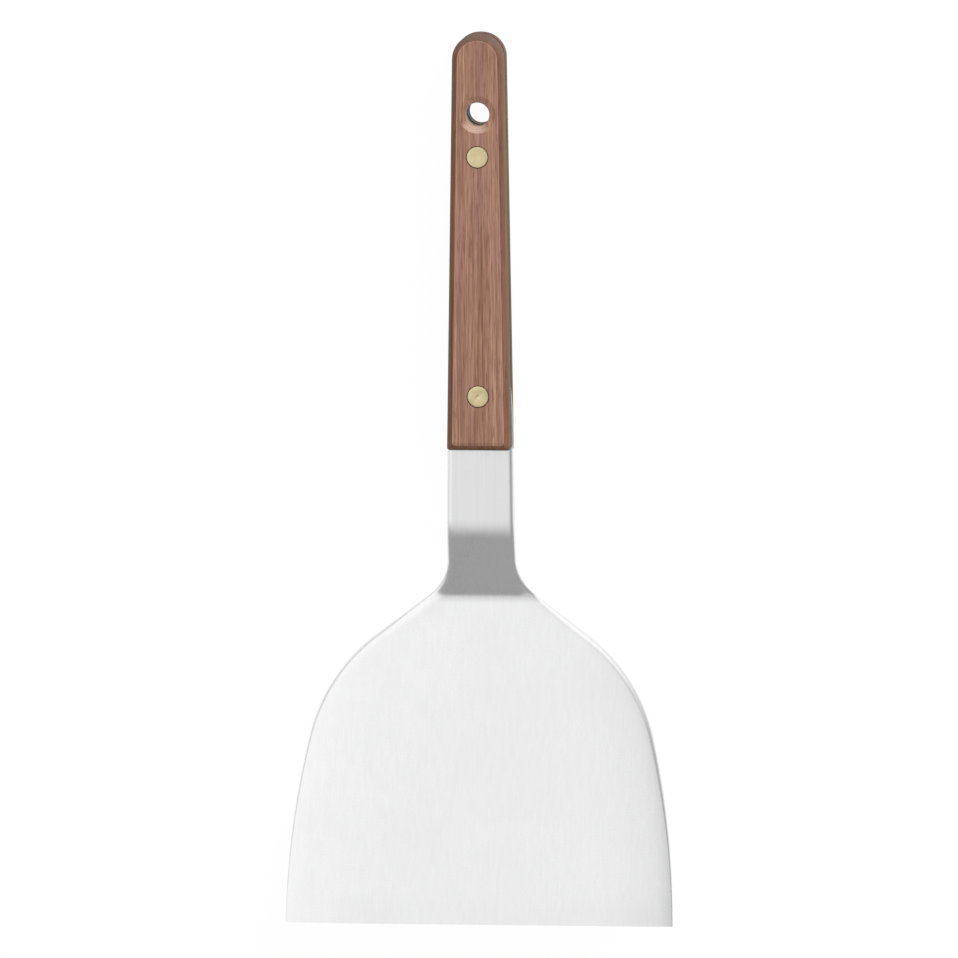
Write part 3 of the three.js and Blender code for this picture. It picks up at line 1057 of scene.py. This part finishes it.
def make_turned_brass():
    finish, tree, shader, coordinates = new_finish("turned_brass")
    rings = turned_rings(tree, coordinates, rivet_places, 6000.0)
    hands = place_group(tree, rubbing, coordinates, Scale=300.0, Low=0.0, High=1.0)
    turned = ramp(tree, rings, [(0.3, brass_dark), (0.7, brass_pale)])
    parts = node(tree, "ShaderNodeSeparateXYZ")
    wire(tree, coordinates, parts)
    dull_share = scaled(tree, parts.outputs["Y"], reads=rivet_places, gives=dull_shares)
    share = maths(tree, "MULTIPLY", hands, dull_share)
    wire(tree, mixed(tree, "MIX", share, turned, brass_dull), shader, "Base Color")
    shader.inputs["Metallic"].default_value = 1.0
    wire(tree, scaled(tree, rings, reads=(0.3, 0.7), gives=(0.3, 0.42)), shader, "Roughness")
    emboss(tree, shader, rings, strength=0.6, distance=0.00002)
    return finish


turned_brass = make_turned_brass()
print("finish:", turned_brass.name)


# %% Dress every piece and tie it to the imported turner
def dress(piece, finish, stands_for):
    piece.data.materials.clear()
    piece.data.materials.append(finish)
    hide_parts(stands_for)
    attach(piece, "root")


dress(steel, ground_steel, "blade_and_tang")
dress(upper_scale, oiled_wood, "top_scale")
dress(lower_scale, oiled_wood, "bottom_scale")
for piece, stands_for in rivets:
    dress(piece, turned_brass, stands_for)
print("dressed:", 3 + len(rivets), "pieces")

# %% [markdown]
# ## The white table
# The turner lies on a plain white table. To the camera the table is almost a pure white, with a little of
# its real shading left in, so that a faint shadow stays under the piece.

# %% Floor
floor_size = 6.0
floor_gap = 0.0002
white_share = 0.94
table_glow = 1.02
table_paint = 0.85

bpy.ops.mesh.primitive_plane_add(size=floor_size, location=(0, 0, -floor_gap))
floor = bpy.context.object
floor.name = "white_table"
bpy.ops.object.transform_apply(location=True, rotation=True, scale=True)


def make_table_finish():
    finish = bpy.data.materials.new("table_white")
    finish.use_nodes = True
    tree = finish.node_tree
    output = tree.nodes["Material Output"]
    tree.nodes.remove(tree.nodes["Principled BSDF"])
    paint = node(tree, "ShaderNodeBsdfDiffuse", Color=(table_paint, table_paint, table_paint, 1))
    glow = node(tree, "ShaderNodeEmission", Color=(1, 1, 1, 1), Strength=table_glow)
    path = node(tree, "ShaderNodeLightPath").outputs
    seen = maths(tree, "MAXIMUM", path["Is Camera Ray"], path["Is Glossy Ray"])
    through = maths(tree, "MAXIMUM", seen, path["Is Transmission Ray"])
    both = node(tree, "ShaderNodeMixShader")
    wire(tree, scaled(tree, through, reads=(0, 1), gives=(0, white_share)), both, "Fac")
    wire(tree, paint.outputs[0], both, 1)
    wire(tree, glow.outputs[0], both, 2)
    wire(tree, both.outputs[0], output, "Surface")
    return finish


floor.data.materials.append(make_table_finish())
print("floor:", floor.name)

# %% [markdown]
# ## Studio light
# Bare steel shows the room more than itself. Over the table hangs a broad bright ceiling, a little
# brighter on the left. In front and to the right the room is dim from the ceiling down to the table, and
# that is what the sloping neck and the right edges mirror. A thin dim band lies along the horizon on the
# left. The world holds this soft room as a brightness for each direction, with two pale windows at the
# back, which put the bright lines along the blade's shoulders. The right one is brighter, and one large
# lamp in front of it lights the right side of the wood. The lamp is kept out of the reflections, where
# the window already shows.

# %% World
def reach(angle):
    """How far a direction points along another one that lies some degrees away."""
    return math.cos(math.radians(angle))


# The ceiling's brightness, and how it leans
room_light = 0.818
lean_right = -0.8
lean_back = 0.42
brightest = 1.02
dullest = 0.62

# The dim walls in front and to the right, by the angle from straight up
dim_high = 0.262
dim_low = 0.35
dim_starts = reach(20.5)
dim_full = reach(38)
dim_eases = reach(47)
dim_fades = reach(72)
dim_ends = reach(88)
right_fades = reach(48)
right_ends = reach(74)
front_turns = (0.12, 0.42)
right_turns = (0.1, 0.4)

# The thin band along the horizon on the left
band_top = reach(64)
band_full = reach(76)
band_share = 0.65
left_turns = (-0.2, 0.2)

# The two windows, each with its direction and brightness
windows = [((0.407, 0.765, 0.5), 1.13), ((-0.42, 0.68, 0.6), 1.06)]
window_edge = reach(30)
window_full = reach(12)


def along(tree, coordinates, direction):
    """How far a direction of the room points along another one."""
    made = node(tree, "ShaderNodeVectorMath", operation="DOT_PRODUCT")
    made.inputs[1].default_value = direction
    wire(tree, coordinates, made)
    return made.outputs["Value"]


def faded(tree, source, none, full):
    """0 to 1 between two values, softly."""
    return scaled(tree, source, (none, full), (0, 1), curve="SMOOTHSTEP")


def lit_between(tree, share, first, second):
    """A brightness between two others. The second one is a socket or a plain value."""
    made = node(tree, "ShaderNodeMix", data_type="FLOAT")
    wire(tree, share, made, "Factor")
    wire(tree, first, made, "A")
    if isinstance(second, float):
        made.inputs["B"].default_value = second
    else:
        wire(tree, second, made, "B")
    return made.outputs["Result"]


def make_room():
    world = bpy.data.worlds.new("studio_room")
    bpy.context.scene.world = world
    world.use_nodes = True
    tree = world.node_tree
    background = tree.nodes["Background"]
    background.inputs["Color"].default_value = (1, 1, 1, 1)
    coordinates = node(tree, "ShaderNodeTexCoord").outputs["Generated"]
    height = along(tree, coordinates, (0, 0, 1))
    front = faded(tree, along(tree, coordinates, (0, -1, 0)), *front_turns)
    right = faded(tree, along(tree, coordinates, (1, 0, 0)), *right_turns)
    left = faded(tree, along(tree, coordinates, (-1, 0, 0)), *left_turns)
    front_wall = maths(tree, "MULTIPLY", faded(tree, height, dim_ends, dim_fades), front)
    right_wall = maths(tree, "MULTIPLY", faded(tree, height, right_ends, right_fades), right)
    walls = maths(tree, "MAXIMUM", front_wall, right_wall)
    dim = maths(tree, "MULTIPLY", faded(tree, height, dim_starts, dim_full), walls)
    band = maths(tree, "MULTIPLY", faded(tree, height, band_top, band_full), left)
    dimmed = maths(tree, "MAXIMUM", dim, scaled(tree, band, (0, 1), (0, band_share)))
    lean = along(tree, coordinates, (lean_right, lean_back, 0))
    lean_range = (dullest - room_light, brightest - room_light)
    ceiling = scaled(tree, lean, lean_range, (dullest, brightest))
    dim_level = scaled(tree, height, (dim_full, dim_eases), (dim_high, dim_low))
    light = lit_between(tree, dimmed, ceiling, dim_level)
    for window_place, window_light in windows:
        opening = faded(tree, along(tree, coordinates, window_place), window_edge, window_full)
        light = lit_between(tree, opening, light, window_light)
    wire(tree, light, background, "Strength")
    return world


print("world:", make_room().name)

# %% Lamp
lamp_place = Vector((0.87, 0.78, 0.77))
lamp_size = 1.0
lamp_power = 17.0
bpy.ops.object.light_add(type="AREA", location=lamp_place)
lamp = bpy.context.object
lamp.data.size = lamp_size
lamp.data.energy = lamp_power
lamp.visible_glossy = False
lamp.rotation_euler = lamp_place.to_track_quat("Z", "Y").to_euler()
print("lamp at", [round(x, 2) for x in lamp_place])

# %% [markdown]
# ## The camera
# The turner was photographed from above, a few degrees towards the handle's end and to the right, from far
# enough away that its sides hardly draw together.

# %% Camera
camera_distance = 4.0
camera_pitch = math.radians(6.95)
camera_yaw = math.radians(5.3)
camera_roll = math.radians(-0.165)
aim = Vector((-0.00055, -0.0003, 0.009))
pixels_per_metre = 2992.0
image_width = 958
sensor_width = 36.0
farthest_seen = 100.0

towards_camera = Vector(
    (
        math.sin(camera_yaw) * math.cos(camera_pitch),
        math.sin(camera_pitch),
        math.cos(camera_yaw) * math.cos(camera_pitch),
    )
)
level_right = Vector((0, 1, 0)).cross(towards_camera).normalized()
level_up = towards_camera.cross(level_right)
right = level_right * math.cos(camera_roll) + level_up * math.sin(camera_roll)
up = towards_camera.cross(right)
bpy.ops.object.camera_add()
camera = bpy.context.object
pose = Matrix((right, up, towards_camera)).transposed().to_4x4()
pose.translation = aim + towards_camera * camera_distance
camera.matrix_world = pose
camera.data.sensor_width = sensor_width
camera.data.lens = pixels_per_metre * camera_distance * sensor_width / image_width
camera.data.clip_end = farthest_seen
bpy.context.scene.camera = camera
bpy.context.scene.view_settings.view_transform = "Standard"
print("lens, mm:", round(camera.data.lens, 1))

# %% [markdown]
# ## Bring the scene up to date

# %% Bring the scene up to date
bpy.context.view_layer.update()
